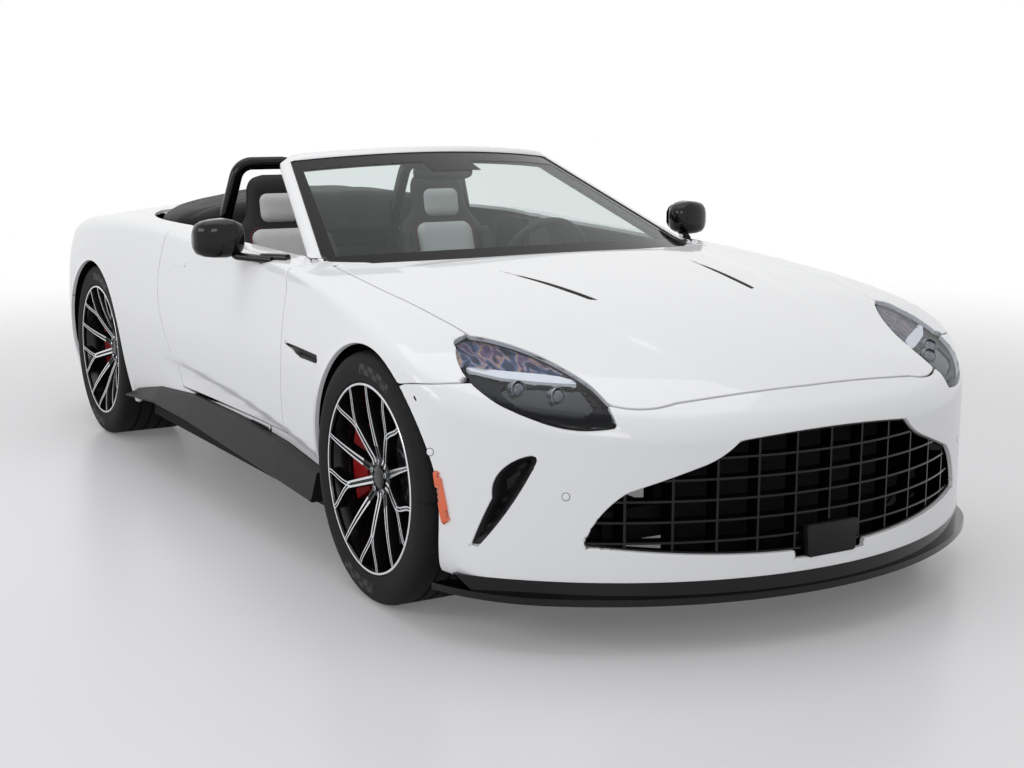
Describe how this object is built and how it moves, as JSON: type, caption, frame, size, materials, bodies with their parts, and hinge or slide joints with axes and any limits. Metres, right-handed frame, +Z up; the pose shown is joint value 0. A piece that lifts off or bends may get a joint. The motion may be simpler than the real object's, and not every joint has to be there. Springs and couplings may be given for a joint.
{
  "type": "open two-seat sports car",
  "caption": "Open two-seat front-engined sports car with its soft top folded; wheels, steering, doors, bonnet and boot lid move.",
  "frame": {"origin": "on the ground under the middle of the overall length, on the centreline", "axes": "+X towards the front, +Y to the car's left, +Z up"},
  "size_m": [4.495, 2.12, 1.2555],
  "materials": {
    "caliper_red": "gloss red",
    "core": "dark cooling fins",
    "disc_iron": "ground brake face",
    "engine": "plain block",
    "glass": "clear glass with a black edge band",
    "gloss_black": "gloss black trim",
    "hood_fabric": "black woven hood cloth",
    "lamp": "clear lamp cover over dark optics",
    "lamp_red": "red lamp cover",
    "leather_dark": "dark grained leather",
    "leather_grey": "light grey leather centres",
    "liner": "moulded arch liner",
    "satin_black": "satin dark trim",
    "steel": "polished tube",
    "structure": "dark coated body structure",
    "suspension": "cast, as made",
    "tyre": "tyre rubber",
    "wheel_black": "gloss black with machined silver faces",
    "white_paint": "gloss solid white body paint"
  },
  "bodies": {
    "body": {"front_bumper": "white_paint", "wing_left": "white_paint", "wing_right": "white_paint", "rear_body": "white_paint", "rear_bumper": "white_paint", "windscreen": "glass", "windscreen_frame": "white_paint", "side_sills": "satin_black", "front_splitter": "gloss_black", "rear_diffuser": "satin_black", "exhausts": "steel", "grille": "gloss_black", "sensor_panel": "gloss_black", "radiator": "core", "headlamps": "lamp", "tail_lamps": "lamp_red", "floor_pan": "structure", "centre_tunnel": "structure", "bulkhead": "structure", "front_frame": "structure", "rear_frame": "structure", "arch_liners": "liner", "engine_block": "engine", "dashboard": "leather_dark", "centre_console": "leather_dark", "steering_column": "satin_black", "seat_left": "leather_grey", "seat_right": "leather_grey", "roll_hoops": "gloss_black", "folded_soft_top": "hood_fabric", "front_arms": "suspension", "rear_axle": "suspension", "calipers_rear": "caliper_red"},
    "bonnet": {"bonnet": "white_paint"},
    "boot_lid": {"boot_lid": "white_paint"},
    "door_left": {"door_left": "white_paint", "mirror_left": "gloss_black"},
    "door_right": {"door_right": "white_paint", "mirror_right": "gloss_black"},
    "knuckle_left": {"knuckle_front_left": "suspension", "caliper_front_left": "caliper_red"},
    "knuckle_right": {"knuckle_front_right": "suspension", "caliper_front_right": "caliper_red"},
    "steering_wheel": {"steering_wheel": "leather_dark"},
    "wheel_front_left": {"rim_front_left": "wheel_black", "tyre_front_left": "tyre", "brake_disc_front_left": "disc_iron"},
    "wheel_front_right": {"rim_front_right": "wheel_black", "tyre_front_right": "tyre", "brake_disc_front_right": "disc_iron"},
    "wheel_rear_left": {"rim_rear_left": "wheel_black", "tyre_rear_left": "tyre", "brake_disc_rear_left": "disc_iron"},
    "wheel_rear_right": {"rim_rear_right": "wheel_black", "tyre_rear_right": "tyre", "brake_disc_rear_right": "disc_iron"}
  },
  "joints": [
    {"name": "steer_left", "type": "hinge", "parent": "body", "child": "knuckle_left", "pos_m": [1.372, 0.742, 0.36295], "axis": [0, 0, 1], "range_deg": [-33, 33]},
    {"name": "steer_right", "type": "hinge", "parent": "body", "child": "knuckle_right", "pos_m": [1.372, -0.742, 0.36295], "axis": [0, 0, 1], "range_deg": [-33, 33]},
    {"name": "steering_wheel_turn", "type": "hinge", "parent": "body", "child": "steering_wheel", "pos_m": [0.154, 0.368, 0.8], "axis": [-0.9272, 0, 0.3746], "range_deg": [-430, 430]},
    {"name": "bonnet_hinge", "type": "hinge", "parent": "body", "child": "bonnet", "pos_m": [2.027, 0, 0.68386], "axis": [0, 1, 0], "range_deg": [0, 50]},
    {"name": "boot_lid_hinge", "type": "hinge", "parent": "body", "child": "boot_lid", "pos_m": [-1.763, 0, 0.93589], "axis": [0, 1, 0], "range_deg": [0, 70]},
    {"name": "door_left_hinge", "type": "hinge", "parent": "body", "child": "door_left", "pos_m": [0.572, 0.916, 0.56], "axis": [0, 0, -1], "range_deg": [0, 65]},
    {"name": "door_right_hinge", "type": "hinge", "parent": "body", "child": "door_right", "pos_m": [0.572, -0.916, 0.56], "axis": [0, 0, 1], "range_deg": [0, 65]},
    {"name": "wheel_front_left_spin", "type": "hinge", "parent": "knuckle_left", "child": "wheel_front_left", "pos_m": [1.372, 0.82, 0.36295], "axis": [0, 1, 0], "continuous": true},
    {"name": "wheel_front_right_spin", "type": "hinge", "parent": "knuckle_right", "child": "wheel_front_right", "pos_m": [1.372, -0.82, 0.36295], "axis": [0, 1, 0], "continuous": true},
    {"name": "wheel_rear_left_spin", "type": "hinge", "parent": "body", "child": "wheel_rear_left", "pos_m": [-1.333, 0.82, 0.3642], "axis": [0, 1, 0], "continuous": true},
    {"name": "wheel_rear_right_spin", "type": "hinge", "parent": "body", "child": "wheel_rear_right", "pos_m": [-1.333, -0.82, 0.3642], "axis": [0, 1, 0], "continuous": true}
  ],
  "couplings": [
    {"joint": "steer_right", "follows": "steer_left", "ratio": 1},
    {"joint": "steering_wheel_turn", "follows": "steer_left", "ratio": 13}
  ]
}
